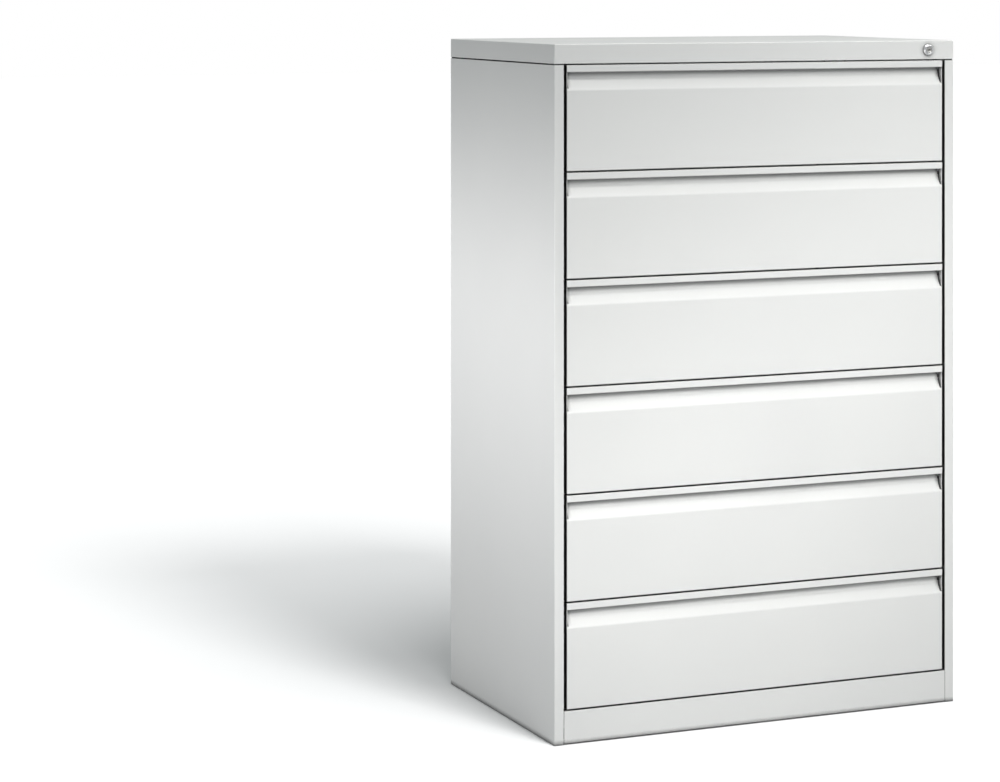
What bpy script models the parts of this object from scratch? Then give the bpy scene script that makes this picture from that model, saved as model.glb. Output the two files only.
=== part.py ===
"""Six-drawer steel file cabinet with a full-width grip recess in each drawer front,
telescopic slides, a central lock in the top cover and levelling feet inside the plinth.

Frame: metres, +Z up, the drawers open towards -Y, +X is the cabinet's right side
as seen by a person standing in front of it. The origin is the centre of the
bounding box's bottom face, on the floor.
"""

import math

import bmesh
import bpy
from mathutils import Matrix, Vector

# ----------------------------------------------------------------------------
# Driving dimensions (metres), shared by several pieces
# ----------------------------------------------------------------------------
WIDTH = 0.880            # outside width of the carcass
DEPTH = 0.590            # front plane to back plane
HEIGHT = 1.357           # floor to the top of the cover
LOCK_PROUD = 0.006       # how far the lock rosette stands out of the front plane
DRAWERS = 6
PITCH = 0.2085           # drawer pitch
GAP = 0.0027             # shadow gap between fronts, and under the cover
COVER_LINE = 1.3174      # height of the middle of the gap under the top cover
GAUGE = 0.0010           # sheet thickness of the outer panels
PANEL_BEND = 0.0018      # fold radius of the outer panels
POST = 0.020             # width of the front post strips
SIDE_GAP = 0.0062        # gap between a drawer front and a post
CLEAR = 0.0004           # clearance between assembled pieces

RECESS_DEPTH = 0.013     # depth of the grip recess in a drawer front
SLIDE_LENGTH = 0.500     # closed length of a telescopic slide
SLIDE_WIDTH = 0.0127     # thickness of a slide, upright to drawer box
SLIDE_SET = 0.074        # slide centre above the bottom of the drawer front
SLIDE_START = 0.030      # front end of the slides behind the front plane
CATCH_LIFT = 0.0310      # bottom of a drawer's catch tab above its slide centre
LOCK_X = 0.3810          # lock axis

FRONT = -(DEPTH + LOCK_PROUD) / 2.0 + LOCK_PROUD
BACK = FRONT + DEPTH
HALF = WIDTH / 2.0
POST_INNER = HALF - POST                       # inner edge of a post strip
PANEL_HALF = HALF - 0.0016                     # half width of the back panel and tray
FLANGE_REACH = HALF - 0.0017                   # outer limit of upright and guide flanges
COVER_BOTTOM = COVER_LINE + GAP / 2.0
CARCASS_TOP = COVER_LINE - GAP / 2.0
PLINTH_TOP = COVER_LINE - DRAWERS * PITCH - GAP / 2.0
LOCK_Z = (COVER_BOTTOM + HEIGHT) / 2.0
FRONT_HALF = POST_INNER - SIDE_GAP             # half width of a drawer front
UPRIGHT_FACE = POST_INNER - 0.0010             # plane that carries the slides
SLIDE_FACE = UPRIGHT_FACE - 0.0003             # back of the cabinet members
BOX_HALF = SLIDE_FACE - SLIDE_WIDTH - 0.0003   # half width of a drawer box
FRAME_TOP = HEIGHT - GAUGE - CLEAR             # top of the inner frame
TRAY_TOP = PLINTH_TOP - 0.0014                 # top face of the base tray
SLIDE_Y = FRONT + SLIDE_START
SLIDE_END = SLIDE_Y + SLIDE_LENGTH
FRONT_UPRIGHT = (FRONT + 0.0325, FRONT + 0.0725)    # front and rear edge
REAR_UPRIGHT = (SLIDE_END - 0.040, SLIDE_END)

SIDES = (("left", -1), ("right", 1))

# ----------------------------------------------------------------------------
# Clean start, collections
# ----------------------------------------------------------------------------
for old in list(bpy.data.objects):
    bpy.data.objects.remove(old, do_unlink=True)

cabinet = bpy.data.collections.new("six_drawer_file_cabinet")
cutters = bpy.data.collections.new("cutters")
bpy.context.scene.collection.children.link(cabinet)
bpy.context.scene.collection.children.link(cutters)


# ----------------------------------------------------------------------------
# Finishes: each piece gets its own material, made from one of these
# ----------------------------------------------------------------------------
POWDER = (0.74, 0.74, 0.73)      # light grey powder coat
ZINC = (0.62, 0.63, 0.65)        # bright zinc-plated steel
CHROME = (0.80, 0.80, 0.81)
DARK = (0.05, 0.05, 0.055)

PANEL_FINISH = dict(colour=POWDER, roughness=0.42, metallic=0.0)
DRAWER_FRONT_FINISH = dict(colour=POWDER, roughness=0.40, metallic=0.0)
DRAWER_BOX_FINISH = dict(colour=POWDER, roughness=0.45, metallic=0.0)
FRAME_FINISH = dict(colour=ZINC, roughness=0.4, metallic=0.8)
SLIDE_FINISH = dict(colour=ZINC, roughness=0.32, metallic=0.9)
LOCK_PART_FINISH = dict(colour=ZINC, roughness=0.35, metallic=0.9)
HOUSING_FINISH = dict(colour=CHROME, roughness=0.15, metallic=1.0)
PLUG_FINISH = dict(colour=CHROME, roughness=0.2, metallic=1.0)
FOOT_FINISH = dict(colour=DARK, roughness=0.5, metallic=0.0)


def material(name, colour, roughness, metallic):
    made = bpy.data.materials.new(name)
    made.use_nodes = True
    shader = made.node_tree.nodes["Principled BSDF"]
    shader.inputs["Base Color"].default_value = (*colour, 1.0)
    shader.inputs["Roughness"].default_value = roughness
    shader.inputs["Metallic"].default_value = metallic
    return made


# ----------------------------------------------------------------------------
# Objects
# ----------------------------------------------------------------------------
def surface(name, shape, finish, origin=(0, 0, 0), group=cabinet):
    """Turns a bmesh in world coordinates into an object, keeping its face directions."""
    bmesh.ops.translate(shape, verts=shape.verts, vec=-Vector(origin))
    mesh = bpy.data.meshes.new(name)
    shape.to_mesh(mesh)
    shape.free()
    obj = bpy.data.objects.new(name, mesh)
    obj.location = origin
    group.objects.link(obj)
    if finish is not None:
        mesh.materials.append(material("mat_" + name, **finish))
    return obj


def solid(name, shape, finish, origin=(0, 0, 0), smooth_angle=None, group=cabinet):
    """Turns a closed bmesh into an object with its faces outwards."""
    bmesh.ops.recalc_face_normals(shape, faces=shape.faces)
    obj = surface(name, shape, finish, origin, group)
    if smooth_angle is not None:
        obj.data.shade_smooth()
        obj.data.set_sharp_from_angle(angle=math.radians(smooth_angle))
    return obj


def hide_helper(obj):
    obj.hide_render = True
    obj.display_type = "WIRE"


def carriage_empty(name, location):
    """An empty that carries the moving pieces of one drawer."""
    carriage = bpy.data.objects.new(name, None)
    carriage.empty_display_size = 0.05
    carriage.location = location
    cabinet.objects.link(carriage)
    bpy.context.view_layer.update()
    return carriage


def hang(child, parent):
    """Parents a piece without moving it."""
    child.parent = parent
    child.matrix_parent_inverse = parent.matrix_world.inverted()


# ----------------------------------------------------------------------------
# Shapes
# ----------------------------------------------------------------------------
def placed_cube(matrix):
    shape = bmesh.new()
    bmesh.ops.create_cube(shape, size=1.0, matrix=matrix)
    return shape


def block(low, high):
    """A box between two corners."""
    low, high = Vector(low), Vector(high)
    size = high - low
    return placed_cube(Matrix.Translation((low + high) / 2) @ Matrix.Diagonal((*size, 1.0)))


def side_block(sign, x_range, y_range, z_range):
    """A box on the left (-1) or right (+1), with x_range measured out from the middle."""
    x_low, x_high = sorted(sign * x for x in x_range)
    return block((x_low, y_range[0], z_range[0]), (x_high, y_range[1], z_range[1]))


def open_box(low, high, open_side):
    """A box surface without its top (+1) or its bottom (-1) face."""
    shape = block(low, high)
    shape.normal_update()
    missing = [face for face in shape.faces if face.normal.z * open_side > 0.5]
    bmesh.ops.delete(shape, geom=missing, context="FACES_ONLY")
    return shape


def round_bar(centre, axis, radius, length, segments=32, turn=0.0):
    """A cylinder about a centre point, along an axis."""
    shape = bmesh.new()
    tilt = Vector((0, 0, 1)).rotation_difference(Vector(axis)).to_matrix().to_4x4()
    matrix = Matrix.Translation(centre) @ tilt @ Matrix.Rotation(turn, 4, "Z")
    bmesh.ops.create_cone(shape, cap_ends=True, segments=segments, radius1=radius,
                          radius2=radius, depth=length, matrix=matrix)
    return shape


def lock_bar_round(setback, radius, length, segments=32, turn=0.0):
    """A cylinder on the lock axis, its centre set back from the front plane."""
    return round_bar((LOCK_X, FRONT + setback, LOCK_Z), (0, 1, 0), radius, length,
                     segments, turn)


def pull(shape, edges, vector):
    """Extrudes edges of an open surface along a vector and returns the new edges."""
    made = bmesh.ops.extrude_edge_only(shape, edges=edges)["geom"]
    verts = [item for item in made if isinstance(item, bmesh.types.BMVert)]
    bmesh.ops.translate(shape, verts=verts, vec=vector)
    return [item for item in made if isinstance(item, bmesh.types.BMEdge)
            and all(vert in verts for vert in item.verts)]


def chain(points):
    """A bmesh of points joined by edges, without faces."""
    shape = bmesh.new()
    verts = [shape.verts.new(point) for point in points]
    for start, end in zip(verts, verts[1:]):
        shape.edges.new((start, end))
    return shape


def folded(path, sweep):
    """An open surface: a path of points swept along a vector."""
    shape = chain(path)
    pull(shape, list(shape.edges), sweep)
    return shape


def edges_where(shape, test):
    return [edge for edge in shape.edges if all(test(vert.co) for vert in edge.verts)]


def near(value, target):
    return abs(value - target) < 1e-5


def face_towards(shape, is_reference, direction):
    """Makes all faces agree, so that the first one whose centre passes the test faces a way."""
    bmesh.ops.recalc_face_normals(shape, faces=shape.faces)
    shape.normal_update()
    chosen = next(face for face in shape.faces if is_reference(face.calc_center_median()))
    if chosen.normal.dot(Vector(direction)) < 0:
        bmesh.ops.reverse_faces(shape, faces=shape.faces)
    shape.normal_update()


# ----------------------------------------------------------------------------
# Modifiers
# ----------------------------------------------------------------------------
def bend(obj, radius, segments):
    """Rounds the fold lines of a sheet."""
    modifier = obj.modifiers.new("bend", "BEVEL")
    modifier.width = radius
    modifier.segments = segments
    modifier.limit_method = "ANGLE"
    modifier.angle_limit = math.radians(30.0)
    modifier.offset_type = "OFFSET"


def thicken(obj, thickness):
    """Gives an open surface its sheet thickness on the side away from its normals."""
    modifier = obj.modifiers.new("sheet", "SOLIDIFY")
    modifier.thickness = thickness
    modifier.offset = -1.0
    modifier.use_even_offset = True
    modifier.use_quality_normals = True


def sheet(name, shape, finish, thickness, radius, segments, origin=(0, 0, 0)):
    """A bent sheet-metal piece from an open surface."""
    obj = surface(name, shape, finish, origin)
    bend(obj, radius, segments)
    thicken(obj, thickness)
    return obj


def boolean(obj, other, operation):
    modifier = obj.modifiers.new(operation.lower(), "BOOLEAN")
    modifier.operation = operation
    modifier.object = other
    modifier.solver = "EXACT"


def helper_boolean(obj, name, shape, operation):
    helper = solid(name, shape, None, group=cutters)
    hide_helper(helper)
    boolean(obj, helper, operation)


def join(obj, name, shape):
    helper_boolean(obj, name, shape, "UNION")


def cut(obj, name, shape):
    helper_boolean(obj, name, shape, "DIFFERENCE")


def turned(name, centre, profile, finish, segments):
    """A piece turned about its own Z axis from (radius, z) points."""
    obj = surface(name, chain([(radius, 0, z) for radius, z in profile]), finish)
    obj.location = centre
    modifier = obj.modifiers.new("turn", "SCREW")
    modifier.axis = "Z"
    modifier.angle = 2 * math.pi
    modifier.steps = segments
    modifier.render_steps = segments
    modifier.screw_offset = 0.0
    modifier.use_merge_vertices = True
    modifier.merge_threshold = 0.00001
    return obj


# ----------------------------------------------------------------------------
# Outer panels
# ----------------------------------------------------------------------------
REAR_FLANGE = 0.016      # width of a side panel's rear flange
POST_RETURN = 0.0175     # depth of the post's inner return
PLINTH_RETURN = 0.0165   # depth of the plinth's top and bottom returns
PLINTH_LIFT = 0.0010     # plinth above the floor
COVER_HOLE_R = 0.0094    # hole in the cover for the lock barrel
TRAY_EDGE = 0.030        # height of the tray's down-turned edges
TRAY_SHEET = 0.0012
FOOT_HOLE_R = 0.0046
FOOT_X = 0.3950
FEET = [("front_left", -FOOT_X, FRONT + 0.060), ("front_right", FOOT_X, FRONT + 0.060),
        ("rear_left", -FOOT_X, BACK - 0.050), ("rear_right", FOOT_X, BACK - 0.050)]


def side_panel(side, sign):
    """Side sheet, folded into the front post with its inner return, and into a rear flange."""
    path = [(sign * (HALF - REAR_FLANGE), BACK, 0),
            (sign * HALF, BACK, 0),
            (sign * HALF, FRONT, 0),
            (sign * POST_INNER, FRONT, 0),
            (sign * POST_INNER, FRONT + POST_RETURN, 0)]
    shape = folded(path, (0, 0, CARCASS_TOP))
    face_towards(shape, lambda point: near(point.x, sign * HALF), (sign, 0, 0))
    name = "side_panel_" + side
    panel = sheet(name, shape, PANEL_FINISH, GAUGE, PANEL_BEND, 2)
    # locating tab for the cover, standing up behind the post strip
    join(panel, "cover_tab_" + name,
         side_block(sign, (POST_INNER + 0.0003, HALF - 0.0014),
                    (FRONT + 0.0025, FRONT + 0.0037),
                    (CARCASS_TOP - 0.0140, CARCASS_TOP + 0.0100)))


def back_panel():
    """One flat sheet inside the rear flanges."""
    solid("back_panel", block((-PANEL_HALF, BACK - 0.0024, 0.004),
                              (PANEL_HALF, BACK - 0.0015, FRAME_TOP)), PANEL_FINISH)


def top_cover():
    """Cap with a folded skirt on all four sides, open at the bottom."""
    shape = open_box((-HALF, FRONT, COVER_BOTTOM), (HALF, BACK, HEIGHT), -1)
    cover = sheet("top_cover", shape, PANEL_FINISH, GAUGE, PANEL_BEND, 2)
    cut(cover, "cover_lock_hole", lock_bar_round(0.0, COVER_HOLE_R, 0.020))


def base_tray():
    """Flat sheet with down-turned edges behind the posts, with four foot holes."""
    shape = open_box((-PANEL_HALF, FRONT + 0.0180, TRAY_TOP - TRAY_EDGE),
                     (PANEL_HALF, BACK - 0.0030, TRAY_TOP), -1)
    tray = sheet("base_tray", shape, PANEL_FINISH, TRAY_SHEET, PANEL_BEND, 1)
    for label, x, y in FEET:
        cut(tray, "foot_hole_" + label,
            round_bar((x, y, TRAY_TOP), (0, 0, 1), FOOT_HOLE_R, 0.020, 24))


def plinth_panel():
    """Sheet between the posts, with a top and a bottom return."""
    half = POST_INNER - CLEAR
    path = [(-half, FRONT + PLINTH_RETURN, PLINTH_LIFT),
            (-half, FRONT, PLINTH_LIFT),
            (-half, FRONT, PLINTH_TOP),
            (-half, FRONT + PLINTH_RETURN, PLINTH_TOP)]
    shape = folded(path, (2 * half, 0, 0))
    face_towards(shape, lambda point: near(point.y, FRONT), (0, -1, 0))
    sheet("plinth_panel", shape, PANEL_FINISH, GAUGE, PANEL_BEND, 2)


for side, sign in SIDES:
    side_panel(side, sign)
back_panel()
top_cover()
base_tray()
plinth_panel()


# ----------------------------------------------------------------------------
# Inner frame: four uprights and two top rails
# ----------------------------------------------------------------------------
UPRIGHT_SHEET = 0.0015
TOP_RAIL_SHEET = 0.0012
FRAME_BEND = 0.0020
TOP_RAIL_INSET = 0.0015  # rail edge inside the upright's edge, front and rear


def upright(name, sign, y_front, y_rear):
    """Channel with its web towards the drawers and its flanges towards the side panel."""
    bottom = TRAY_TOP + CLEAR
    path = [(sign * FLANGE_REACH, y_front, bottom), (sign * UPRIGHT_FACE, y_front, bottom),
            (sign * UPRIGHT_FACE, y_rear, bottom), (sign * FLANGE_REACH, y_rear, bottom)]
    shape = folded(path, (0, 0, FRAME_TOP - bottom))
    face_towards(shape, lambda point: near(point.x, sign * UPRIGHT_FACE), (-sign, 0, 0))
    sheet(name, shape, FRAME_FINISH, UPRIGHT_SHEET, FRAME_BEND, 1)


def top_rail(name, y_front, y_rear):
    """Channel across the frame, open downwards, that carries the top cover."""
    half = UPRIGHT_FACE - CLEAR
    bottom = COVER_BOTTOM + 0.0020
    path = [(-half, y_front, bottom), (-half, y_front, FRAME_TOP),
            (-half, y_rear, FRAME_TOP), (-half, y_rear, bottom)]
    shape = folded(path, (2 * half, 0, 0))
    face_towards(shape, lambda point: near(point.z, FRAME_TOP), (0, 0, 1))
    sheet(name, shape, FRAME_FINISH, TOP_RAIL_SHEET, FRAME_BEND, 1)


for place, (y_front, y_rear) in (("front", FRONT_UPRIGHT), ("rear", REAR_UPRIGHT)):
    for side, sign in SIDES:
        upright(f"upright_{place}_{side}", sign, y_front, y_rear)
    top_rail(f"top_{place}_rail", y_front + TOP_RAIL_INSET, y_rear - TOP_RAIL_INSET)


# ----------------------------------------------------------------------------
# Levelling feet: a pad and a stud
# ----------------------------------------------------------------------------
# (radius, height above the floor), down the outer side from top to bottom
FOOT_PROFILE = [
    (0.0, 0.0700), (0.0032, 0.0700), (0.0040, 0.0690), (0.0040, 0.0190),
    (0.0070, 0.0190), (0.0070, 0.0120), (0.0100, 0.0090), (0.0180, 0.0060),
    (0.0190, 0.0045), (0.0190, 0.0010), (0.0180, 0.0), (0.0, 0.0)]

for label, x, y in FEET:
    turned("levelling_foot_" + label, (x, y, 0.0), FOOT_PROFILE, FOOT_FINISH, 24)


# ----------------------------------------------------------------------------
# Drawers
# ----------------------------------------------------------------------------
LIP = 0.0135             # height of the pull lip at the top of a drawer front
LIP_RETURN = 0.0100      # down-turned edge behind the pull lip
RECESS_SLIT = 0.0030     # slit between the recess sheet and the end flange
RECESS_WALL = 0.0145     # height of the upright back wall of the recess
RECESS_FOOT = 0.0490     # crease where the slanted wall meets the face, from the top
FRONT_RETURN = 0.0195    # depth of the returns around a drawer front
DRAWER_BEND = 0.0016

BOX_SHEET = 0.0010       # sheet thickness of the drawer boxes
BOX_DEPTH = 0.541        # length of a drawer box, front wall to back wall
BOX_DROP = 0.020         # from the top of the drawer front down to the box rim
BOX_LIFT = 0.011         # from the bottom of the drawer front up to the box floor
RIM_WIDTH = 0.0070       # turned-out side rim
RIM_DROP = 0.0060        # down-turned edge of the rim

SLIDE_HEIGHT = 0.0454    # height of the cabinet member
SLIDE_SHEET = 0.0012
SLIDE_BEND = 0.0014

# Slide sections. web and reach are distances from SLIDE_FACE towards the drawer:
# where the web stands and where the flanges end.
OUTER_SECTION = dict(web=0.0, reach=0.0094, half_height=SLIDE_HEIGHT / 2, lip=0.0034)
MID_SECTION = dict(web=0.0030, reach=0.0112, half_height=0.0165, lip=0.0032)
BOX_SECTION = dict(web=SLIDE_WIDTH + 0.0008, reach=0.0062, half_height=0.0103, lip=0.0)


def drawer_top(number):
    """Top edge of a drawer front, counted from the top."""
    return COVER_LINE - (number - 1) * PITCH - GAP / 2.0


def drawer_bottom(number):
    return COVER_LINE - number * PITCH + GAP / 2.0


def drawer_origin(number):
    return (0, FRONT, (drawer_top(number) + drawer_bottom(number)) / 2)


def slide_z(number):
    return drawer_bottom(number) + SLIDE_SET


def drawer_front(number, carriage):
    """Front sheet: pull lip, grip recess with an upright wall and a slanted wall, face, and
    returns. A side return runs down each side of the face."""
    top, bottom = drawer_top(number), drawer_bottom(number)
    crease = top - RECESS_FOOT
    outline = [  # (depth behind the front plane, z), from the bottom return up
        (FRONT_RETURN, bottom),
        (0, bottom),
        (0, crease),
        (RECESS_DEPTH, top - LIP - RECESS_WALL),
        (RECESS_DEPTH, top - LIP),
        (0, top - LIP),
        (0, top),
        (FRONT_RETURN, top),
        (FRONT_RETURN, top - LIP_RETURN)]
    shape = folded([(-FRONT_HALF, FRONT + depth, z) for depth, z in outline],
                   (2 * FRONT_HALF, 0, 0))
    for sign in (-1, 1):
        face_edge = edges_where(shape, lambda point: near(point.x, sign * FRONT_HALF)
                                and near(point.y, FRONT) and point.z < crease + 1e-4)
        pull(shape, face_edge, (0, FRONT_RETURN, 0))
    bmesh.ops.remove_doubles(shape, verts=shape.verts, dist=1e-6)
    face_towards(shape, lambda point: near(point.y, FRONT) and point.z < crease, (0, -1, 0))
    front = sheet(f"drawer_front_{number}", shape, DRAWER_FRONT_FINISH, GAUGE, DRAWER_BEND, 2,
                  origin=drawer_origin(number))
    # a flange closes each end of the recess, with a slit between it and the recess sheet
    slit_outer = FRONT_HALF - 0.0012
    for sign in (-1, 1):
        join(front, f"end_flange_{number}_{sign}",
             side_block(sign, (FRONT_HALF - 0.0011, FRONT_HALF - 0.0001),
                        (FRONT + 0.0012, FRONT + RECESS_DEPTH + 0.0006),
                        (crease - 0.0040, top - 0.0004)))
        cut(front, f"recess_slit_{number}_{sign}",
            side_block(sign, (slit_outer - RECESS_SLIT, slit_outer),
                       (FRONT + 0.0022, FRONT + 0.0300),
                       (crease + 0.0025, top - LIP + 0.0013)))
    hang(front, carriage)


def slide_channel(sign, y_front, y_rear, z_centre, web, reach, half_height, lip):
    """A slide section: a web with two flanges, their lips turned towards the centre."""
    profile = [(reach, half_height), (web, half_height),
               (web, -half_height), (reach, -half_height)]
    if lip:
        profile = [(reach, half_height - lip), *profile, (reach, -half_height + lip)]
    path = [(sign * (SLIDE_FACE - inward), y_front, z_centre + z) for inward, z in profile]
    shape = folded(path, (0, y_rear - y_front, 0))
    outward = sign if reach > web else -sign
    face_towards(shape, lambda point: near(point.x, sign * (SLIDE_FACE - web)),
                 (outward, 0, 0))
    return shape


def drawer_box(number, carriage):
    """Open box with turned-out side rims and the drawer members of both slides on its sides."""
    y_front = FRONT + RECESS_DEPTH + GAUGE + CLEAR
    floor = drawer_bottom(number) + BOX_LIFT
    rim_z = drawer_top(number) - BOX_DROP
    z_slide = slide_z(number)
    shape = open_box((-BOX_HALF, y_front, floor), (BOX_HALF, y_front + BOX_DEPTH, rim_z), 1)
    for sign in (-1, 1):
        rim = edges_where(shape, lambda point: near(point.x, sign * BOX_HALF)
                          and near(point.z, rim_z))
        rim = pull(shape, rim, (sign * RIM_WIDTH, 0, 0))
        pull(shape, rim, (0, 0, -RIM_DROP))
    face_towards(shape, lambda point: near(point.z, floor), (0, 0, -1))
    box = sheet(f"drawer_box_{number}", shape, DRAWER_BOX_FINISH, BOX_SHEET, DRAWER_BEND, 1,
                origin=drawer_origin(number))
    for side, sign in SIDES:
        member = slide_channel(sign, SLIDE_Y, SLIDE_END, z_slide, **BOX_SECTION)
        rail = surface(f"box_rail_{side}_{number}", member, None, group=cutters)
        hide_helper(rail)
        thicken(rail, SLIDE_SHEET)
        boolean(box, rail, "UNION")
    # catch tab for the lock bar, on the right side only
    catch_z = z_slide + CATCH_LIFT
    join(box, f"catch_tab_{number}",
         block((BOX_HALF - 0.0005, FRONT + 0.0290, catch_z),
               (BOX_HALF + 0.0075, FRONT + 0.0310, catch_z + 0.0160)))
    hang(box, carriage)


def slide_member(kind, side, sign, number, y_front, y_rear, section):
    """One of the two slide members that are separate from the drawer box."""
    z = slide_z(number)
    sheet(f"slide_{kind}_{side}_{number}",
          slide_channel(sign, y_front, y_rear, z, **section),
          SLIDE_FINISH, SLIDE_SHEET, SLIDE_BEND, 1, origin=(sign * SLIDE_FACE, SLIDE_Y, z))


for n in range(1, DRAWERS + 1):
    carriage = carriage_empty(f"drawer_{n}_carriage", drawer_origin(n))
    drawer_front(n, carriage)
    drawer_box(n, carriage)
    for side, sign in SIDES:
        slide_member("outer", side, sign, n, SLIDE_Y, SLIDE_END, OUTER_SECTION)
        slide_member("mid", side, sign, n, SLIDE_Y + 0.002, SLIDE_END - 0.008, MID_SECTION)


# ----------------------------------------------------------------------------
# Central lock. A setback is a distance behind the front plane.
# ----------------------------------------------------------------------------
LOCK_ORIGIN = (LOCK_X, FRONT, LOCK_Z)
ROSETTE_R = 0.0115
BORE_R = 0.0063          # through bore of the housing
BARREL_R = 0.0090
BARREL_END = 0.0160      # setback of the barrel's rear end
PLUG_R = 0.0060
PLUG_FACE = -LOCK_PROUD + 0.0005
PLUG_END = 0.0170        # setback of the plug's shoulder
CAM_R = 0.0080           # throw of the cam pin
CAM_ANGLE = math.radians(-45)    # cam at rest, below the right-hand side
CAM_SETBACK = 0.0185
CAM_SHEET = 0.0022
PIN_X = LOCK_X + CAM_R * math.cos(CAM_ANGLE)
PIN_Z = LOCK_Z + CAM_R * math.sin(CAM_ANGLE)
NUT_SETBACK = 0.0032

# (radius, setback): over the rosette from the bore's front edge, back along the barrel,
# and forward through the bore to close the loop
HOUSING_PROFILE = [
    (BORE_R, -LOCK_PROUD + 0.0008), (0.0070, -LOCK_PROUD), (0.0094, -LOCK_PROUD),
    (0.0100, -LOCK_PROUD + 0.0003), (0.0112, -0.0026), (ROSETTE_R, -0.0018),
    (ROSETTE_R, -0.0004), (BARREL_R, -0.0004), (BARREL_R, BARREL_END),
    (BORE_R, BARREL_END), (BORE_R, -LOCK_PROUD + 0.0008)]


def lock_housing():
    """Rosette, barrel and through bore, turned about the lock axis."""
    housing = turned("lock_housing", LOCK_ORIGIN,
                     [(radius, -setback) for radius, setback in HOUSING_PROFILE],
                     HOUSING_FINISH, 40)
    housing.rotation_euler = (math.radians(90), 0, 0)


def lock_plug():
    """Rotating core with the keyway, reduced at its tail for the cam."""
    core = lock_bar_round((PLUG_END + PLUG_FACE) / 2, PLUG_R, PLUG_END - PLUG_FACE)
    plug = solid("lock_plug", core, PLUG_FINISH, origin=LOCK_ORIGIN, smooth_angle=40)
    join(plug, "plug_tail", lock_bar_round(0.0188, 0.0030, 0.0064, 24))
    cut(plug, "keyway", block((LOCK_X - 0.0038, FRONT - 0.0090, LOCK_Z - 0.0010),
                              (LOCK_X + 0.0038, FRONT + 0.0090, LOCK_Z + 0.0010)))


def lock_cam():
    """Plate on the plug's tail: a disc, an arm and a drive pin."""
    cam = solid("lock_cam", lock_bar_round(CAM_SETBACK, 0.0062, CAM_SHEET),
                LOCK_PART_FINISH, origin=LOCK_ORIGIN, smooth_angle=40)
    arm = placed_cube(Matrix.Translation((LOCK_X, FRONT + CAM_SETBACK, LOCK_Z))
                      @ Matrix.Rotation(-CAM_ANGLE, 4, "Y")
                      @ Matrix.Translation((0.0050, 0, 0))
                      @ Matrix.Diagonal((0.0100, CAM_SHEET, 0.0080, 1)))
    join(cam, "cam_arm", arm)
    join(cam, "cam_pin",
         round_bar((PIN_X, FRONT + 0.0219, PIN_Z), (0, 1, 0), 0.0020, 0.0082, 20))
    cut(cam, "cam_bore", lock_bar_round(CAM_SETBACK, 0.0034, 0.010, 24))


def lock_nut():
    """Hexagon nut that clamps the housing behind the cover's skirt."""
    nut = solid("lock_nut", lock_bar_round(NUT_SETBACK, 0.0135, 0.0034, 6, math.radians(30)),
                LOCK_PART_FINISH, origin=LOCK_ORIGIN)
    cut(nut, "nut_bore", lock_bar_round(NUT_SETBACK, 0.0093, 0.010))


def lock_bar():
    """Flat strip behind the right post, with an arm to the cam and one lug a drawer."""
    y_front, y_rear = FRONT + 0.0225, FRONT + 0.0250
    x_inner, x_outer = HALF - 0.0185, HALF - 0.0035
    x_joint = x_inner + 0.0010           # the arm and lugs overlap the strip up to here
    bottom = slide_z(DRAWERS) + 0.0150
    arm_half = 0.0080                    # half height of the arm
    slot_margin = 0.0026                 # slot edge from the pin's centre
    bar = solid("lock_bar",
                block((x_inner, y_front, bottom), (x_outer, y_rear, PIN_Z + arm_half)),
                LOCK_PART_FINISH, origin=(x_inner, y_front, bottom))
    join(bar, "bar_arm", block((LOCK_X - 0.0010, y_front, PIN_Z - arm_half),
                               (x_joint, y_rear, PIN_Z + arm_half)))
    for n in range(1, DRAWERS + 1):
        z = slide_z(n) + CATCH_LIFT
        join(bar, f"bar_lug_{n}", block((POST_INNER - 0.0035, y_front, z - 0.0080),
                                        (x_joint, y_rear, z + 0.0040)))
    cut(bar, "bar_slot",
        block((PIN_X - slot_margin, y_front - 0.005, PIN_Z - slot_margin),
              (LOCK_X + CAM_R + slot_margin, y_rear + 0.005, PIN_Z + slot_margin)))


def lock_bar_guide(place, z):
    """Channel clip on the front upright, open to the front, that keeps the bar in line."""
    y_front, y_web = FRONT + 0.0205, FRONT_UPRIGHT[0] - 0.0003
    x_inner = POST_INNER - 0.0003
    half_height = 0.007
    bottom = z - half_height
    path = [(x_inner, y_front, bottom), (x_inner, y_web, bottom),
            (FLANGE_REACH, y_web, bottom), (FLANGE_REACH, y_front, bottom)]
    shape = folded(path, (0, 0, 2 * half_height))
    face_towards(shape, lambda point: near(point.y, y_web), (0, 1, 0))
    thicken(surface("lock_bar_guide_" + place, shape, LOCK_PART_FINISH), 0.0010)


lock_housing()
lock_plug()
lock_cam()
lock_nut()
lock_bar()
lock_bar_guide("upper", slide_z(1) + 0.070)
lock_bar_guide("lower", slide_z(DRAWERS) + 0.080)

bpy.context.view_layer.update()
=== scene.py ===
"""Six-drawer steel file cabinet: the looks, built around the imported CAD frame."""

import math

import bmesh
import bpy
from mathutils import Matrix, Vector


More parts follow.
